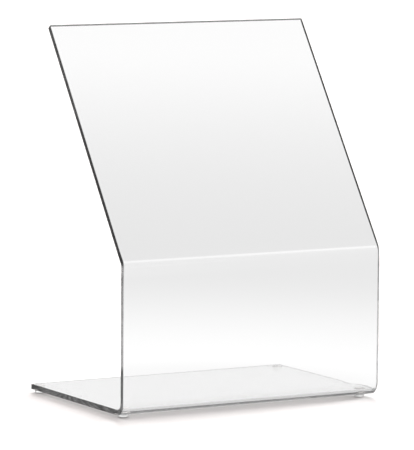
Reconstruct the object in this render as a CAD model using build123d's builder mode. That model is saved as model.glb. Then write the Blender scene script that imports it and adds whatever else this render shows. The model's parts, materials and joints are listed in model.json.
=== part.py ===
from build123d import *
import os
from math import cos, radians, sin

# Clear acrylic display stand: one sheet, line-bent twice, on four self-adhesive bumper feet.
# Millimetres, +Z up, +Y towards the back. X = 0 is the middle of the width, Y = 0 the middle
# of the depth and Z = 0 the surface that the feet stand on.

# Sheet
sheet_width = 216.0
sheet_thickness = 4.0
base_depth = 145.5
riser_height = 110.5            # underside of the base to where the two outer faces would meet
panel_length = 201.0            # from that meeting line to the top edge, along the front face
panel_lean = 35.0               # from vertical, in degrees
bend_outer_radius = 10.0
edge_ease = 0.25                # arris broken by the edge polishing

# Bumper feet
foot_height = 2.05
foot_top_radius = 4.0
foot_contact_radius = 3.5
foot_rim_radius = 0.6
adhesive_thickness = 0.15
adhesive_radius = 3.8
front_foot_side_inset = 8.0     # foot centre to the side edge
front_foot_inset = 14.2         # foot centre to the front face
back_foot_side_inset = 5.0
back_foot_inset = 5.0

# Levels and places that follow from the sizes
sheet_underside = foot_height + adhesive_thickness
front_face = -base_depth / 2
back_edge = base_depth / 2
upper_bend = sheet_underside + riser_height
panel_top_y = front_face + panel_length * sin(radians(panel_lean))
panel_top_z = upper_bend + panel_length * cos(radians(panel_lean))
front_foot_x = sheet_width / 2 - front_foot_side_inset
back_foot_x = sheet_width / 2 - back_foot_side_inset

foot_places = {
    "front_left": (-front_foot_x, front_face + front_foot_inset),
    "front_right": (front_foot_x, front_face + front_foot_inset),
    "back_left": (-back_foot_x, back_edge - back_foot_inset),
    "back_right": (back_foot_x, back_edge - back_foot_inset),
}


def bumper_foot(place):
    """A clear bumper: a low tapered button with a rounded lower rim."""
    with BuildPart() as foot:
        with BuildSketch(Plane.XY.offset(foot_height)):
            with Locations(place):
                Circle(foot_top_radius)
        with BuildSketch(Plane.XY):
            with Locations(place):
                Circle(foot_contact_radius)
        loft(ruled=True)
        fillet(foot.edges().sort_by(Axis.Z)[0], foot_rim_radius)
    return foot


def adhesive_disc(place):
    """The clear adhesive layer that bonds a bumper to the underside of the base."""
    with BuildPart() as disc:
        with BuildSketch(Plane.XY.offset(foot_height)):
            with Locations(place):
                Circle(adhesive_radius)
        extrude(amount=adhesive_thickness)
    return disc


os.makedirs("parts", exist_ok=True)

# The bent sheet: its outer face runs from the back of the base along the underside to the
# front, up the riser and along the front of the leaning panel. The thickness goes inwards.
with BuildPart() as bent_sheet:
    with BuildSketch(Plane.YZ):
        with BuildLine():
            outer_face = FilletPolyline(
                (back_edge, sheet_underside),
                (front_face, sheet_underside),
                (front_face, upper_bend),
                (panel_top_y, panel_top_z),
                radius=bend_outer_radius,
            )
            offset(outer_face, amount=sheet_thickness, side=Side.RIGHT)
        make_face()
    extrude(amount=sheet_width / 2, both=True)
    side_faces = bent_sheet.faces().filter_by(Axis.X)
    back_edge_face = bent_sheet.faces().sort_by(Axis.Y)[-1]
    top_edge_face = bent_sheet.faces().sort_by(Axis.Z)[-1]
    chamfer(side_faces.edges() + back_edge_face.edges() + top_edge_face.edges(), edge_ease)
bent_sheet.part.label = "bent_sheet"
export_step(bent_sheet.part, "parts/bent_sheet.step")

for corner, place in foot_places.items():
    foot = bumper_foot(place)
    foot.part.label = f"foot_{corner}"
    export_step(foot.part, f"parts/foot_{corner}.step")

    adhesive = adhesive_disc(place)
    adhesive.part.label = f"adhesive_{corner}"
    export_step(adhesive.part, f"parts/adhesive_{corner}.step")
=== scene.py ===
import json
import math

import bmesh
import bpy
import numpy as np
from mathutils import Matrix, Vector


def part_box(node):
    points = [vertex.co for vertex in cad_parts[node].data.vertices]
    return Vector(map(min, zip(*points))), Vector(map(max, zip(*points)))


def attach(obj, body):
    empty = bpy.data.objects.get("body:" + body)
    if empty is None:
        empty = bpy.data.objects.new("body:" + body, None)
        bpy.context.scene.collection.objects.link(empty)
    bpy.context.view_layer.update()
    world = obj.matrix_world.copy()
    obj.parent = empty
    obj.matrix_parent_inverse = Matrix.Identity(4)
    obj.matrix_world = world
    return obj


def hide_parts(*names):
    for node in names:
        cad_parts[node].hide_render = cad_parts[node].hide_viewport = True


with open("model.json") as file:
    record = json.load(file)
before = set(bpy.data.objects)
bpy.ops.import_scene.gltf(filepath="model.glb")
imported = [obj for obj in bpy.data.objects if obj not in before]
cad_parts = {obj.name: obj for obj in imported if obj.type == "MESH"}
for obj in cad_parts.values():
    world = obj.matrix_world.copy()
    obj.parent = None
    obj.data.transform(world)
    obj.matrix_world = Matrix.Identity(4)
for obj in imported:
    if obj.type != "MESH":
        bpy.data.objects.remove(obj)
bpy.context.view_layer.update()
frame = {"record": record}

MM = 0.001

# The sheet, as the CAD has it
THICKNESS = 4.0 * MM
BEND_RADIUS = 10.0 * MM             # outer face
BASE_BEND = math.radians(90)
PANEL_BEND = math.radians(35)

# What the visible sheet has beyond the CAD's
EDGE_ROUND = 0.3 * MM               # arris eased by polishing
CORNER_ROUND = 0.9 * MM             # plan radius of the four corners
EDGE_CROWN = 0.06 * MM              # polished edges are very slightly convex
HEATED_WIDTH = 22.0 * MM            # strip softened for each bend
BEND_THINNING = 0.045               # share of the thickness lost at the middle of a bend
BEND_PULL_IN = 0.28 * MM            # how far the stretched side of a bend draws in from the side edge
PULL_IN_REACH = 7.0 * MM            # how far in from the side edge that shows

# How finely the meshes are divided
ARRIS_STEPS = 5
EDGE_STEPS = 6                      # across an edge, between its two arrises
CORNER_STEPS = 6
STATIONS_ACROSS = 19
STATIONS_ALONG = 50
STATIONS_A_BEND = 49
BEND_STATIONS_REACH = HEATED_WIDTH * 0.6    # either side of a bend's middle
CLOSEST_STATIONS = 0.3 * MM
RIM_NORMAL = 0.02                   # a point is rim when its normal leans outwards by more than this
ROUND_SIDES = 72                    # of a foot or an adhesive pad

# Bumper feet and the adhesive over them
FOOT_CONTACT_RADIUS = 3.5 * MM
FOOT_RIM_RADIUS = 0.6 * MM
FOOT_FLASH = 0.08 * MM
FOOT_DISH = 0.12 * MM               # hollow in the contact face
FOOT_SIDE_CROWN = 0.04 * MM
ADHESIVE_UNEVEN = 0.07 * MM
ADHESIVE_WETTING = 0.03 * MM        # laps the sheet's underside, so that no film of air is left

# Camera
CAMERA_AZIMUTH = math.radians(-29.683)
CAMERA_ELEVATION = math.radians(6.52)
CAMERA_ROLL = math.radians(0.358)
CAMERA_DISTANCE = 2777.8 * MM
CAMERA_LENS = 298.5
CAMERA_SENSOR = 36
CAMERA_AIM = Vector((2.29, 0.90, 127.73)) * MM

# Acrylic
ACRYLIC_INDEX = 1.49
BODY_COLOUR = (0.52, 0.48, 0.5, 1)
BODY_DENSITY = 1.8
BASE_PAINTED_EDGE_TONE = 0.67                 # painted shade: of what meets a polished edge, how much goes on; the edges are tinted grey in place of the dark surroundings they mirror
RISER_PAINTED_EDGE_TONE = 0.82
PANEL_PAINTED_EDGE_TONE = 0.52
RIM_SHADE_WANDER = 0.06                   # how far the edges' painted shade strays either way, at random
RIM_RIPPLE = 0.15
RIM_RIPPLE_HEIGHT = 0.03 * MM
EDGE_ROUGHNESS = 0.02
SMUDGE_ROUGHNESS = 0.015
HEAT_RIPPLE = 0.2
HEAT_RIPPLE_HEIGHT = 0.05 * MM
HEAT_HAZE = 0.15

# Bumpers and adhesive
BUMPER_INDEX = 1.49
BUMPER_CLEARNESS = 0.96
BUMPER_TINTS = (0.92, 0.92, 0.91, 1), (0.98, 0.98, 0.97, 1)
BUMPER_ROUGHNESS = 0.1, 0.28
BUMPER_SATIN = 0.25
ADHESIVE_INDEX = 1.47
ADHESIVE_CLEARNESS = 0.2
ADHESIVE_TINTS = (0.96, 0.955, 0.94, 1), (0.99, 0.99, 0.98, 1)
ADHESIVE_ROUGHNESS = 0.3, 0.5
BUBBLE_TINT = 0.7                   # how far a bubble goes towards the lighter tint
BUBBLE_RELIEF = 0.4
FINE_HEIGHT = 0.02 * MM             # of the satin and of the bubbles

# Textures: waves or cells a metre, and the span of values over which each turns from one look to the other
EDGE_SHADE_WAVES = 160
SMUDGE_WAVES = 45
RIM_RIPPLE_WAVES = 900
HEAT_RIPPLE_WAVES = 60
HEAT_RIPPLE_STRETCH = (0.35, 1, 1)  # longer along the bend than across it
BUMPER_WAVES = 400
SATIN_WAVES = 3000
BUBBLE_WAVES = 1500
ADHESIVE_WAVES = 500
FIBRE_WAVES = 300
NOISE_SPAN = 0.3, 0.7
EDGE_SHADE_SPAN = 0.35, 0.65
SMUDGE_SPAN = 0.55, 0.75
BUBBLE_SPAN = 0.12, 0.22

# What a lamp's straight light keeps at each face that it goes through, apart from what the face mirrors
RIM_PASSES = 0.1
BASE_PASSES = 0.74
BEND_PASSES = 0.86                  # where the lower bend meets the riser
FLAT_PASSES = 0.97                  # riser, upper bend and panel
BASE_SHADE = 40.0 * MM              # how long the step is from the base's share to the bend's
BEND_SHADE = 12.0 * MM              # and from the bend's to the riser's
BUMPER_PASSES = 0.75
ADHESIVE_PASSES = 0.6

# Floor. Spans are in metres from the middle of the stand.
FLOOR_RADIUS = 16.0
FLOOR_SIDES = 96
FLOOR_DROP = 0.1 * MM               # how far it lies below the feet
FLOOR_WHITE = 0.9                   # the paper's own white, as the lamps light it for the camera
FIBRE_CONTRAST = 0.01
FLOOR_GLOW_IN_PAINTED_SHADOW = 0.97                # set brightness of the floor's painted glow, as every other ray meets it: under the base, darker as a painted shadow,
FLOOR_BEHIND = 1.035                # and round it;
FLOOR_PAINTED_DIP = 0.19                    # painted shade: how much duller it gets within a metre,
FLOOR_PAINTED_RISE = 0.205                  # and painted light: how much brighter again towards the far floor
BEHIND_SPAN = 0.12, 0.2
DIP_SPAN = 0.15, 0.75
RISE_SPAN = 0.5, 3.9
PAINTED_DIM_NEAR = 0.7                      # painted shade: share of its glow that the floor close by keeps for light turned back in the sheet,
PAINTED_DIM_FAR = 0.08                      # and that the floor far off and the room keep
DIM_SPAN = 0.3, 1.2

# Room and lamps
HORIZON_LIGHT = 1.2
OVERHEAD_LIGHT = 0.5
SKY_SPAN = 0.15, 0.75               # sine of the elevation
TOP_LIGHT = 2.04
TOP_COLOUR = (1.06, 0.985, 0.965)
BACK_LIGHT = 3.35
LOW_LIGHT = 1.97
SIDE_LIGHT = 5.0
WHITE = (1.0, 1.0, 1.0)
OPPOSITE_CAMERA = 29.7              # azimuth in degrees, straight across the stand from the camera
GLASS_BOUNCES = 64
LAMP_CROSSINGS = 32

sheet_low, sheet_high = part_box("bent_sheet")
half_width = sheet_high.x
riser_front = sheet_low.y
base_back = sheet_high.y
underside = sheet_low.z


# ---------------------------------------------------------------- camera

def make_camera():
    data = bpy.data.cameras.new("camera")
    data.lens = CAMERA_LENS
    data.sensor_width = CAMERA_SENSOR
    data.clip_start = 0.05
    data.clip_end = 100
    camera = bpy.data.objects.new("camera", data)
    bpy.context.scene.collection.objects.link(camera)
    a, e = CAMERA_AZIMUTH, CAMERA_ELEVATION
    back = Vector((math.sin(a) * math.cos(e), -math.cos(a) * math.cos(e), math.sin(e)))
    right = Vector((math.cos(a), math.sin(a), 0))
    up = back.cross(right)
    axes = Matrix((right, up, back)).transposed() @ Matrix.Rotation(CAMERA_ROLL, 3, "Z")
    camera.matrix_world = Matrix.Translation(CAMERA_AIM + back * CAMERA_DISTANCE) @ axes.to_4x4()
    bpy.context.scene.camera = camera


# ---------------------------------------------------------------- the bent sheet

def smooth(t):
    t = np.clip(t, 0, 1)
    return t * t * (3 - 2 * t)


class BentPath:
    """The outer face of the sheet in the YZ plane, from the back of the base to the top of the panel."""

    def __init__(self):
        panel_setback = BEND_RADIUS * math.tan(PANEL_BEND / 2)
        lean = PANEL_BEND
        # the panel's mount lies on its front face: down the slope from it, that face meets the riser's front
        panel_mount = next(m for m in frame["record"]["mounts"] if m["name"] == "display_panel_front")
        up_the_slope = (panel_mount["pos_m"][1] - riser_front) / math.sin(lean)
        meeting_line = panel_mount["pos_m"][2] - up_the_slope * math.cos(lean)
        panel_length = (sheet_high.z - meeting_line) / math.cos(lean)
        self.runs = [
            (base_back - riser_front - BEND_RADIUS, 0.0),
            (BEND_RADIUS * BASE_BEND, BASE_BEND),
            (meeting_line - underside - BEND_RADIUS - panel_setback, 0.0),
            (BEND_RADIUS * PANEL_BEND, PANEL_BEND),
            (panel_length - panel_setback, 0.0),
        ]
        self.length = sum(run for run, _ in self.runs)
        self.ends = np.cumsum([run for run, _ in self.runs])
        self.bend_middles = [self.ends[0] + self.runs[1][0] / 2, self.ends[2] + self.runs[3][0] / 2]

    def heading_and_place(self, s):
        """Heading angle and YZ place of the outer face at each length s along it."""
        heading = np.full_like(s, math.pi)
        y = np.full_like(s, base_back)
        z = np.full_like(s, underside)
        start = 0.0
        for index, (run, turn) in enumerate(self.runs):
            last = index == len(self.runs) - 1
            gone = s - start if last else np.clip(s - start, None, run)
            gone = gone if index == 0 else np.maximum(gone, 0)
            if turn == 0.0:
                y = y + gone * np.cos(heading)
                z = z + gone * np.sin(heading)
            else:
                turned = gone / BEND_RADIUS
                y = y + BEND_RADIUS * (np.sin(heading) - np.sin(heading - turned))
                z = z - BEND_RADIUS * (np.cos(heading) - np.cos(heading - turned))
                heading = heading - turned
            start += run
        return heading, y, z

    def heated(self, s):
        """1 in the middle of a bend, falling to 0 at the limits of the heated strip."""
        total = np.zeros_like(s)
        for middle in self.bend_middles:
            total += smooth(1 - np.abs(s - middle) / (HEATED_WIDTH / 2))
        return total

    def passes(self, s):
        """The share of a lamp's straight light that a face lets through at each length s.

        It is least in the base, rises through the lower bend and is most from a little way up the riser on.
        """
        foot = self.ends[1]
        base = BASE_PASSES + (BEND_PASSES - BASE_PASSES) * smooth((s - foot) / BASE_SHADE + 1)
        riser = BEND_PASSES + (FLAT_PASSES - BEND_PASSES) * smooth((s - foot) / BEND_SHADE)
        return np.where(s < foot, base, riser)

    def painted_edge_tone(self, s):
        """Painted shade on the polished edge at each length s: how clear it is, most on the riser and least
        on the panel.
        """
        onto_riser = smooth((s - self.ends[0]) / self.runs[1][0])
        onto_panel = smooth((s - self.ends[2]) / self.runs[3][0])
        painted_edge_tone = BASE_PAINTED_EDGE_TONE + (RISER_PAINTED_EDGE_TONE - BASE_PAINTED_EDGE_TONE) * onto_riser
        return painted_edge_tone + (PANEL_PAINTED_EDGE_TONE - RISER_PAINTED_EDGE_TONE) * onto_panel

    def bend(self, flat):
        """Carries points of the flat slab (x, length along, depth from the outer face) to the bent sheet."""
        x, s, depth = flat.T
        heading, y, z = self.heading_and_place(s)
        heat = self.heated(s)
        depth = depth * (1 - BEND_THINNING * heat)
        near_side = smooth((np.abs(x) - half_width + PULL_IN_REACH) / PULL_IN_REACH)
        x = x - np.sign(x) * BEND_PULL_IN * heat * near_side * (1 - depth / THICKNESS)
        return np.stack([x, y + depth * np.sin(heading), z - depth * np.cos(heading)], 1)


def rim_rings():
    """Rings round the slab's rim, from the outer face to the inner one.

    Each is its inset, its depth, and how far its normal points outwards and through the sheet.
    """
    angles = [(i / ARRIS_STEPS) * math.pi / 2 for i in range(ARRIS_STEPS + 1)]
    outer = [(EDGE_ROUND * (1 - math.sin(a)), EDGE_ROUND * (1 - math.cos(a)), math.sin(a), -math.cos(a))
             for a in angles]
    flat_side = THICKNESS - 2 * EDGE_ROUND
    side = [(0.0, EDGE_ROUND + flat_side * i / EDGE_STEPS, 1.0, 0.0) for i in range(1, EDGE_STEPS)]
    inner = [(inset, THICKNESS - depth, out, -through) for inset, depth, out, through in reversed(outer)]
    crowned = []
    for inset, depth, out, through in outer + side + inner:
        off_middle = 2 * depth / THICKNESS - 1
        through = through + out * (4 * EDGE_CROWN / THICKNESS * off_middle)
        length = math.hypot(out, through)
        crowned.append((inset + EDGE_CROWN * off_middle ** 2, depth, out / length, through / length))
    return crowned


def stations(low, high, places):
    """Places along one direction, between the two limits, with the limits themselves."""
    inside = [p for p in places if low + 1e-6 < p < high - 1e-6]
    return [low, *sorted(inside), high]


def slab_stations(path):
    """Places across the slab and along it, closer together near the side edges and in the heated strips."""
    across = [half_width * t for t in np.linspace(-0.9, 0.9, STATIONS_ACROSS)]
    near_sides = [side * (half_width - inset * MM) for side in (-1, 1) for inset in (2, 3.5, 5, 7, 10, 15)]
    xs = stations(-half_width + CORNER_ROUND, half_width - CORNER_ROUND, across + near_sides)
    along = [path.length * t for t in np.linspace(0.01, 0.99, STATIONS_ALONG)]
    for middle in path.bend_middles:
        along += [middle + BEND_STATIONS_REACH * t for t in np.linspace(-1, 1, STATIONS_A_BEND)]
    ss = stations(CORNER_ROUND, path.length - CORNER_ROUND, along)

    def crowded(i):
        return min(ss[i + 1] - ss[i], ss[i] - ss[i - 1]) < CLOSEST_STATIONS

    while close := [i for i in range(1, len(ss) - 1) if crowded(i)]:
        del ss[close[0]]
    return xs, ss


def flat_slab(path):
    """The sheet before bending: points (x, along, depth), normals, whether each point is rim, and faces."""
    xs, ss = slab_stations(path)
    points, normals, rim, faces, grids = [], [], [], [], []
    for depth, facing in ((0.0, -1.0), (THICKNESS, 1.0)):
        grid = {}
        for j, s in enumerate(ss):
            for i, x in enumerate(xs):
                grid[i, j] = len(points)
                points.append((x, s, depth))
                normals.append((0, 0, facing))
                rim.append(0.0)
        faces += [(grid[i, j], grid[i + 1, j], grid[i + 1, j + 1], grid[i, j + 1])
                  for i in range(len(xs) - 1) for j in range(len(ss) - 1)]
        grids.append(grid)

    # once round the outline: the grid point each station starts from, and the way out from it
    last_i, last_j = len(xs) - 1, len(ss) - 1
    sides = [
        ([(0, j) for j in range(last_j + 1)], math.pi),
        ([(i, last_j) for i in range(last_i + 1)], math.pi / 2),
        ([(last_i, j) for j in range(last_j, -1, -1)], 0.0),
        ([(i, 0) for i in range(last_i, -1, -1)], -math.pi / 2),
    ]
    outline = []
    for cells, way in sides:
        outline += [(cell, way) for cell in cells]
        turn = math.pi / 2 / CORNER_STEPS
        outline += [(cells[-1], way - turn * k) for k in range(1, CORNER_STEPS)]

    loops = []
    for inset, depth, out, through in rim_rings():
        loop = []
        for (i, j), way in outline:
            reach = CORNER_ROUND - inset
            loop.append(len(points))
            points.append((xs[i] + reach * math.cos(way), ss[j] + reach * math.sin(way), depth))
            normals.append((out * math.cos(way), out * math.sin(way), through))
            rim.append(1.0 if out > RIM_NORMAL else 0.0)
        loops.append(loop)
    count = len(outline)
    for a, b in zip(loops, loops[1:]):
        faces += [(a[k], a[(k + 1) % count], b[(k + 1) % count], b[k]) for k in range(count)]
    for grid, loop in ((grids[0], loops[0]), (grids[1], loops[-1])):
        for k in range(count):
            here, there = grid[outline[k][0]], grid[outline[(k + 1) % count][0]]
            ring = (loop[(k + 1) % count], loop[k])
            faces.append((here, *ring) if here == there else (here, there, *ring))
    return np.array(points, float), np.array(normals, float), np.array(rim), faces


def bent_normals(path, flat, normals):
    """Normals of the bent sheet: the flat slab's, carried by the inverse transpose of the bend."""
    step = 0.01 * MM
    columns = []
    for axis in range(3):
        nudge = np.zeros(3)
        nudge[axis] = step
        columns.append((path.bend(flat + nudge) - path.bend(flat - nudge)) / (2 * step))
    jacobian = np.stack(columns, 2)
    carried = np.linalg.solve(np.transpose(jacobian, (0, 2, 1)), normals[:, :, None])[:, :, 0]
    return carried / np.linalg.norm(carried, axis=1)[:, None]


def mesh_object(name, points, faces, normals=None, attributes=None):
    mesh = bpy.data.meshes.new(name)
    mesh.from_pydata([tuple(p) for p in points], [], faces)
    bm = bmesh.new()
    bm.from_mesh(mesh)
    bmesh.ops.recalc_face_normals(bm, faces=bm.faces)
    bm.to_mesh(mesh)
    bm.free()
    mesh.shade_smooth()
    for key, values in (attributes or {}).items():
        mesh.attributes.new(key, "FLOAT", "POINT").data.foreach_set("value", np.asarray(values, np.float32))
    if normals is not None:
        mesh.normals_split_custom_set_from_vertices([tuple(n) for n in normals])
    ob = bpy.data.objects.new(name, mesh)
    bpy.context.scene.collection.objects.link(ob)
    return ob


def make_sheet(material):
    path = BentPath()
    flat, normals, rim, faces = flat_slab(path)
    along = flat[:, 1]
    # the edge tone carried below is painted shade for the polished edges
    attributes = {"rim": rim, "heated": path.heated(along), "passes": path.passes(along),
                  "painted_edge_tone": path.painted_edge_tone(along)}
    normals = bent_normals(path, flat, normals)
    ob = mesh_object("acrylic_sheet", path.bend(flat), faces, normals, attributes)
    ob.data.materials.append(material)
    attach(ob, "root")
    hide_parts("bent_sheet")


# ---------------------------------------------------------------- feet

def turned(profile, centre, sides, uneven=None):
    """Points and faces of a profile turned about a vertical axis, where both its ends lie.

    The profile's points are (radius, height).
    """
    points, faces, rings = [], [], []
    for k, (radius, height) in enumerate(profile):
        if radius == 0:
            rings.append([len(points)] * sides)
            points.append((centre.x, centre.y, height))
            continue
        ring = []
        for j in range(sides):
            angle = 2 * math.pi * j / sides
            reach = radius * (1 + (uneven(angle, k) if uneven else 0))
            ring.append(len(points))
            points.append((centre.x + reach * math.cos(angle), centre.y + reach * math.sin(angle), height))
        rings.append(ring)
    for a, b in zip(rings, rings[1:]):
        for j in range(sides):
            face = [a[j], a[(j + 1) % sides], b[(j + 1) % sides], b[j]]
            faces.append(tuple(dict.fromkeys(face)))
    return points, faces


def arc(centre, radius, start, end, steps):
    """Points along an arc in the (radius, height) plane, angles in degrees."""
    turn = [math.radians(start + (end - start) * k / steps) for k in range(steps + 1)]
    return [(centre[0] + radius * math.cos(t), centre[1] + radius * math.sin(t)) for t in turn]


def make_foot(corner, material):
    """A moulded clear bumper: dished contact face, rounded rim, drafted side and a fine flash line."""
    low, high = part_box(f"foot_{corner}")
    centre, top_radius = (low + high) / 2, (high.x - low.x) / 2
    rim_centre = (FOOT_CONTACT_RADIUS - FOOT_RIM_RADIUS, low.z + FOOT_RIM_RADIUS)
    flash = high.z - FOOT_FLASH
    # the dish: share of the contact radius, and share of its depth
    dish = (0, 1), (0.4, 0.9), (0.62, 0.4), (0.72, 0)
    profile = [(out * FOOT_CONTACT_RADIUS, low.z + up * FOOT_DISH) for out, up in dish]
    profile += arc(rim_centre, FOOT_RIM_RADIUS, -90, -14, 8)
    low_radius, low_height = profile[-1]
    for t in (0.25, 0.5, 0.75, 1.0):
        crown = FOOT_SIDE_CROWN * math.sin(math.pi * t)
        profile.append((low_radius + (top_radius - FOOT_FLASH - low_radius) * t + crown,
                        low_height + (flash - FOOT_FLASH - low_height) * t))
    profile += arc((top_radius - FOOT_FLASH, flash), FOOT_FLASH, -60, 90, 5)
    profile += [(top_radius * t, high.z) for t in (0.9, 0.6, 0.3)] + [(0, high.z)]
    points, faces = turned(profile, centre, ROUND_SIDES)
    ob = mesh_object(f"bumper_{corner}", points, faces)
    ob.data.materials.append(material)
    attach(ob, "root")
    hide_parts(f"foot_{corner}")


def make_adhesive(corner, material):
    """The adhesive layer, pressed out a little unevenly round its edge and wetted on to the sheet."""
    low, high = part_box(f"adhesive_{corner}")
    centre, radius = (low + high) / 2, (high.x - low.x) / 2 - ADHESIVE_UNEVEN
    phase = math.atan2(centre.y, centre.x)

    def uneven(angle, ring):
        wave = sum(math.sin(n * (angle + phase) + n * n) / n for n in (3, 5, 8, 13))
        return wave * ADHESIVE_UNEVEN / radius / 1.2

    edge = (high.z - low.z) / 2
    top = high.z + ADHESIVE_WETTING
    profile = [(0, low.z), (radius * 0.5, low.z), (radius * 0.85, low.z)]
    profile += arc((radius - edge, low.z + edge), edge, -90, 90, 8)
    profile[-1] = (radius - edge, top)
    profile += [(radius * 0.6, top), (radius * 0.3, top), (0, top)]
    points, faces = turned(profile, centre, ROUND_SIDES, uneven)
    ob = mesh_object(f"adhesive_pad_{corner}", points, faces)
    ob.data.materials.append(material)
    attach(ob, "root")
    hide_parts(f"adhesive_{corner}")


# ---------------------------------------------------------------- materials

def new_material(name):
    mat = bpy.data.materials.new(name)
    mat.use_nodes = True
    mat.node_tree.nodes.clear()
    return mat, mat.node_tree


def add(tree, kind, **values):
    node = tree.nodes.new(kind)
    for key, value in values.items():
        setattr(node, key, value)
    return node


def feed(tree, socket, value):
    """Links the value to the socket if it is a socket itself, and sets it there if it is a number."""
    if isinstance(value, bpy.types.NodeSocket):
        tree.links.new(value, socket)
    else:
        socket.default_value = value


def maths(tree, operation, *values):
    """A Math node's output. Each value is a number or a socket."""
    node = add(tree, "ShaderNodeMath", operation=operation)
    for socket, value in zip(node.inputs, values):
        feed(tree, socket, value)
    return node.outputs[0]


def ramp(tree, value, low, high, at_low, at_high):
    """A smooth step from at_low to at_high as value goes from low to high."""
    node = add(tree, "ShaderNodeMapRange", interpolation_type="SMOOTHSTEP")
    tree.links.new(value, node.inputs["Value"])
    for name, number in (("From Min", low), ("From Max", high), ("To Min", at_low), ("To Max", at_high)):
        feed(tree, node.inputs[name], number)
    return node.outputs[0]


def grey(tree, value):
    node = add(tree, "ShaderNodeCombineColor")
    for socket in node.inputs[:3]:
        tree.links.new(value, socket)
    return node.outputs[0]


def between(tree, tints, share):
    """A colour between two tints."""
    node = add(tree, "ShaderNodeMix", data_type="RGBA")
    tree.links.new(share, node.inputs["Factor"])
    node.inputs["A"].default_value, node.inputs["B"].default_value = tints
    return node.outputs["Result"]


def either(tree, switch, shader, other):
    """The first shader, and the other one for the rays that the switch is 1 for."""
    node = add(tree, "ShaderNodeMixShader")
    tree.links.new(switch, node.inputs[0])
    tree.links.new(shader.outputs[0], node.inputs[1])
    tree.links.new(other.outputs[0], node.inputs[2])
    return node.outputs[0]


def attribute(tree, name):
    return add(tree, "ShaderNodeAttribute", attribute_name=name).outputs["Fac"]


def passes_lamps(tree, share):
    """How much of a lamp's straight light one face lets through: what it doesn't mirror, times the share."""
    geometry = add(tree, "ShaderNodeNewGeometry")
    mirror = add(tree, "ShaderNodeFresnel")
    index = ramp(tree, geometry.outputs["Backfacing"], 0, 1, ACRYLIC_INDEX, 1 / ACRYLIC_INDEX)
    tree.links.new(index, mirror.inputs["IOR"])
    return maths(tree, "MULTIPLY", maths(tree, "SUBTRACT", 1.0, mirror.outputs[0]), share)


def clear_to_lamps(tree, shader, share):
    """The shader as every ray meets it, apart from a lamp's, which goes straight through and loses some."""
    clear = add(tree, "ShaderNodeBsdfTransparent")
    tree.links.new(grey(tree, passes_lamps(tree, share)), clear.inputs["Color"])
    rays = add(tree, "ShaderNodeLightPath")
    return either(tree, rays.outputs["Is Shadow Ray"], shader, clear)


def noise(tree, scale, detail=2.0, stretch=(1, 1, 1), roughness=0.5):
    """Noise over the row frame's own coordinates, so its scale is in waves a metre."""
    place = add(tree, "ShaderNodeTexCoord")
    mapping = add(tree, "ShaderNodeMapping")
    mapping.inputs["Scale"].default_value = stretch
    tree.links.new(place.outputs["Object"], mapping.inputs["Vector"])
    node = add(tree, "ShaderNodeTexNoise")
    node.inputs["Scale"].default_value = scale
    node.inputs["Detail"].default_value = detail
    node.inputs["Roughness"].default_value = roughness
    tree.links.new(mapping.outputs[0], node.inputs["Vector"])
    return node.outputs["Fac"]


def bump(tree, height, strength, distance, before=None):
    node = add(tree, "ShaderNodeBump")
    feed(tree, node.inputs["Strength"], strength)
    node.inputs["Distance"].default_value = distance
    tree.links.new(height, node.inputs["Height"])
    if before is not None:
        tree.links.new(before, node.inputs["Normal"])
    return node.outputs[0]


def acrylic_roughness(tree, rim, heated):
    """Faint smudges all over, a little roughness on the polished edges and a haze in the heated strips."""
    smudges = noise(tree, SMUDGE_WAVES, 4, roughness=0.7)
    smudges = ramp(tree, smudges, *SMUDGE_SPAN, 0.0, SMUDGE_ROUGHNESS)
    rough = maths(tree, "ADD", smudges, maths(tree, "MULTIPLY", rim, EDGE_ROUGHNESS))
    return maths(tree, "ADD", rough, maths(tree, "MULTIPLY", heated, HEAT_HAZE))


def acrylic_relief(tree, rim, heated):
    """Fine ripples on the polished edges and long shallow ones in the heated strips."""
    rim_strength = maths(tree, "MULTIPLY", rim, RIM_RIPPLE)
    ripples = bump(tree, noise(tree, RIM_RIPPLE_WAVES, 2), rim_strength, RIM_RIPPLE_HEIGHT)
    heat_strength = maths(tree, "MULTIPLY", heated, HEAT_RIPPLE)
    waves = noise(tree, HEAT_RIPPLE_WAVES, 1, stretch=HEAT_RIPPLE_STRETCH)
    return bump(tree, waves, heat_strength, HEAT_RIPPLE_HEIGHT, ripples)


def acrylic_material():
    """Clear cast acrylic: polished edges tinted darker than the faces as painted shade, and a faint loss of
    light inside.
    """
    mat, tree = new_material("clear_acrylic")
    out = add(tree, "ShaderNodeOutputMaterial")
    rim, heated = attribute(tree, "rim"), attribute(tree, "heated")

    glass = add(tree, "ShaderNodeBsdfGlass")
    glass.inputs["IOR"].default_value = ACRYLIC_INDEX
    # painted shade: the polished edges are tinted grey, a share for each part of the sheet that strays at
    # random, in place of the dark surroundings they mirror
    edge_shade_wander = ramp(tree, noise(tree, EDGE_SHADE_WAVES, 3), *EDGE_SHADE_SPAN, -RIM_SHADE_WANDER, RIM_SHADE_WANDER)
    painted_edge_tone = maths(tree, "ADD", attribute(tree, "painted_edge_tone"), edge_shade_wander)
    tree.links.new(grey(tree, ramp(tree, rim, 0, 1, 1.0, painted_edge_tone)), glass.inputs["Color"])
    tree.links.new(acrylic_roughness(tree, rim, heated), glass.inputs["Roughness"])
    tree.links.new(acrylic_relief(tree, rim, heated), glass.inputs["Normal"])

    # a lamp's light keeps the share of its place on a face, and very little on a polished edge
    share = ramp(tree, rim, 0, 1, attribute(tree, "passes"), RIM_PASSES)
    tree.links.new(clear_to_lamps(tree, glass, share), out.inputs["Surface"])

    absorb = add(tree, "ShaderNodeVolumeAbsorption")
    absorb.inputs["Color"].default_value = BODY_COLOUR
    absorb.inputs["Density"].default_value = BODY_DENSITY
    tree.links.new(absorb.outputs[0], out.inputs["Volume"])
    return mat


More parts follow.
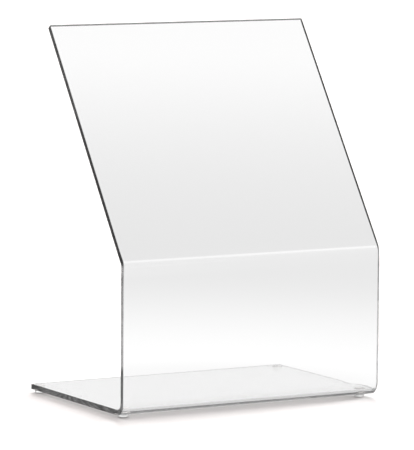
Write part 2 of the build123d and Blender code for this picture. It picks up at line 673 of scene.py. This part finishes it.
def bumper_material():
    """Clear polyurethane: a little cloudy, with a fine satin from the mould."""
    mat, tree = new_material("clear_bumper")
    out = add(tree, "ShaderNodeOutputMaterial")
    shader = add(tree, "ShaderNodeBsdfPrincipled")
    shader.inputs["Transmission Weight"].default_value = BUMPER_CLEARNESS
    shader.inputs["IOR"].default_value = BUMPER_INDEX
    cloudy = noise(tree, BUMPER_WAVES, 3)
    tree.links.new(between(tree, BUMPER_TINTS, cloudy), shader.inputs["Base Color"])
    tree.links.new(ramp(tree, cloudy, *NOISE_SPAN, *BUMPER_ROUGHNESS), shader.inputs["Roughness"])
    satin = bump(tree, noise(tree, SATIN_WAVES, 2), BUMPER_SATIN, FINE_HEIGHT)
    tree.links.new(satin, shader.inputs["Normal"])
    tree.links.new(clear_to_lamps(tree, shader, BUMPER_PASSES), out.inputs["Surface"])
    return mat


def adhesive_material():
    """Acrylic adhesive: hazy, faintly warm, with small bubbles caught in it."""
    mat, tree = new_material("clear_adhesive")
    out = add(tree, "ShaderNodeOutputMaterial")
    shader = add(tree, "ShaderNodeBsdfPrincipled")
    shader.inputs["Transmission Weight"].default_value = ADHESIVE_CLEARNESS
    shader.inputs["IOR"].default_value = ADHESIVE_INDEX
    cells = add(tree, "ShaderNodeTexVoronoi")
    cells.inputs["Scale"].default_value = BUBBLE_WAVES
    place = add(tree, "ShaderNodeTexCoord")
    tree.links.new(place.outputs["Object"], cells.inputs["Vector"])
    bubble = ramp(tree, cells.outputs["Distance"], *BUBBLE_SPAN, 1.0, 0.0)
    tint = between(tree, ADHESIVE_TINTS, maths(tree, "MULTIPLY", bubble, BUBBLE_TINT))
    tree.links.new(tint, shader.inputs["Base Color"])
    rough = ramp(tree, noise(tree, ADHESIVE_WAVES, 3), *NOISE_SPAN, *ADHESIVE_ROUGHNESS)
    tree.links.new(rough, shader.inputs["Roughness"])
    tree.links.new(bump(tree, bubble, BUBBLE_RELIEF, FINE_HEIGHT), shader.inputs["Normal"])
    tree.links.new(clear_to_lamps(tree, shader, ADHESIVE_PASSES), out.inputs["Surface"])
    return mat


# ---------------------------------------------------------------- stage

def turned_back(tree, rays):
    """1 for a ray that was mirrored and last went through a face, as light turned back in the sheet does."""
    mirrored = maths(tree, "GREATER_THAN", rays.outputs["Glossy Depth"], 0.5)
    return maths(tree, "MULTIPLY", mirrored, rays.outputs["Is Transmission Ray"])


def painted_floor_glow(tree, rays):
    """Painted light: the floor's glow by distance from the middle of the stand, darker under the base as a
    painted shadow, duller within a metre and brighter far off. No lamp or shadow changes it.
    """
    place = add(tree, "ShaderNodeTexCoord")
    distance = add(tree, "ShaderNodeVectorMath", operation="LENGTH")
    tree.links.new(place.outputs["Object"], distance.inputs[0])
    r = distance.outputs["Value"]
    level = ramp(tree, r, *BEHIND_SPAN, FLOOR_GLOW_IN_PAINTED_SHADOW, FLOOR_BEHIND)
    level = maths(tree, "SUBTRACT", level, ramp(tree, r, *DIP_SPAN, 0.0, FLOOR_PAINTED_DIP))
    level = maths(tree, "ADD", level, ramp(tree, r, *RISE_SPAN, 0.0, FLOOR_PAINTED_RISE))
    # painted shade: light turned back in the sheet meets the floor duller, most so far off
    dim = ramp(tree, r, *DIM_SPAN, PAINTED_DIM_NEAR, PAINTED_DIM_FAR)
    dim = ramp(tree, turned_back(tree, rays), 0, 1, 1.0, dim)
    glow = add(tree, "ShaderNodeEmission")
    tree.links.new(grey(tree, maths(tree, "MULTIPLY", level, dim)), glow.inputs["Color"])
    return glow


def floor_material():
    """White paper: lit by the lamps where the camera sees it directly, with its set brightness, a painted
    glow, elsewhere.
    """
    mat, tree = new_material("studio_floor")
    out = add(tree, "ShaderNodeOutputMaterial")
    rays = add(tree, "ShaderNodeLightPath")
    paper = add(tree, "ShaderNodeBsdfDiffuse")
    fibres = ramp(tree, noise(tree, FIBRE_WAVES, 3), *NOISE_SPAN,
                  FLOOR_WHITE - FIBRE_CONTRAST, FLOOR_WHITE + FIBRE_CONTRAST)
    tree.links.new(grey(tree, fibres), paper.inputs["Color"])
    surface = either(tree, rays.outputs["Is Camera Ray"], painted_floor_glow(tree, rays), paper)
    tree.links.new(surface, out.inputs["Surface"])
    return mat


def make_floor():
    angles = [2 * math.pi * k / FLOOR_SIDES for k in range(FLOOR_SIDES)]
    points = [(FLOOR_RADIUS * math.cos(a), FLOOR_RADIUS * math.sin(a), -FLOOR_DROP) for a in angles]
    ob = mesh_object("studio_floor", points, [tuple(range(FLOOR_SIDES))])
    ob.data.materials.append(floor_material())


def make_world():
    """White to the camera. Other rays meet a bright horizon and a duller sky, duller still as painted shade
    for light turned back in the sheet, and matt surfaces neither.
    """
    world = bpy.data.worlds.new("studio")
    bpy.context.scene.world = world
    world.use_nodes = True
    tree = world.node_tree
    tree.nodes.clear()
    out = add(tree, "ShaderNodeOutputWorld")
    sky = add(tree, "ShaderNodeBackground")
    way = add(tree, "ShaderNodeTexCoord")
    split = add(tree, "ShaderNodeSeparateXYZ")
    tree.links.new(way.outputs["Generated"], split.inputs[0])
    rays = add(tree, "ShaderNodeLightPath")
    around = ramp(tree, split.outputs["Z"], *SKY_SPAN, HORIZON_LIGHT, OVERHEAD_LIGHT)
    # painted shade: light turned back in the sheet meets a duller room
    dim = ramp(tree, turned_back(tree, rays), 0, 1, 1.0, PAINTED_DIM_FAR)
    around = maths(tree, "MULTIPLY", around, dim)
    seen = ramp(tree, rays.outputs["Is Camera Ray"], 0, 1, around, 1.0)
    tree.links.new(grey(tree, seen), sky.inputs["Color"])
    tree.links.new(sky.outputs[0], out.inputs["Surface"])
    world.cycles_visibility.diffuse = False


def make_sun(name, azimuth, elevation, spread, strength, colour=WHITE):
    """A far lamp, angles in degrees. It isn't mirrored in the sheet or seen through it."""
    data = bpy.data.lights.new(name, "SUN")
    data.energy = strength
    data.angle = math.radians(spread)
    data.color = colour
    data.cycles.use_multiple_importance_sampling = False
    lamp = bpy.data.objects.new(name, data)
    lamp.visible_glossy = False
    lamp.visible_transmission = False
    bpy.context.scene.collection.objects.link(lamp)
    a, e = math.radians(azimuth), math.radians(elevation)
    to_lamp = Vector((math.sin(a) * math.cos(e), math.cos(a) * math.cos(e), math.sin(e)))
    lamp.rotation_mode = "QUATERNION"
    lamp.rotation_quaternion = to_lamp.to_track_quat("Z", "Y")


def light_scene():
    make_world()
    make_sun("top_light", azimuth=0, elevation=75, spread=90, strength=TOP_LIGHT, colour=TOP_COLOUR)
    make_sun("back_light", azimuth=OPPOSITE_CAMERA, elevation=20, spread=20, strength=BACK_LIGHT)
    make_sun("low_light", azimuth=OPPOSITE_CAMERA, elevation=14, spread=16, strength=LOW_LIGHT)
    make_sun("side_light", azimuth=85, elevation=12, spread=16, strength=SIDE_LIGHT)
    scene = bpy.context.scene
    scene.view_settings.view_transform = "Standard"
    scene.cycles.max_bounces = GLASS_BOUNCES
    scene.cycles.transmission_bounces = GLASS_BOUNCES
    scene.cycles.glossy_bounces = GLASS_BOUNCES
    scene.cycles.transparent_max_bounces = LAMP_CROSSINGS
    scene.cycles.caustics_reflective = False
    scene.cycles.caustics_refractive = False
    scene.cycles.use_denoising = True


make_camera()
make_sheet(acrylic_material())
bumper = bumper_material()
adhesive = adhesive_material()
for corner in ("front_left", "front_right", "back_left", "back_right"):
    make_foot(corner, bumper)
    make_adhesive(corner, adhesive)
make_floor()
light_scene()
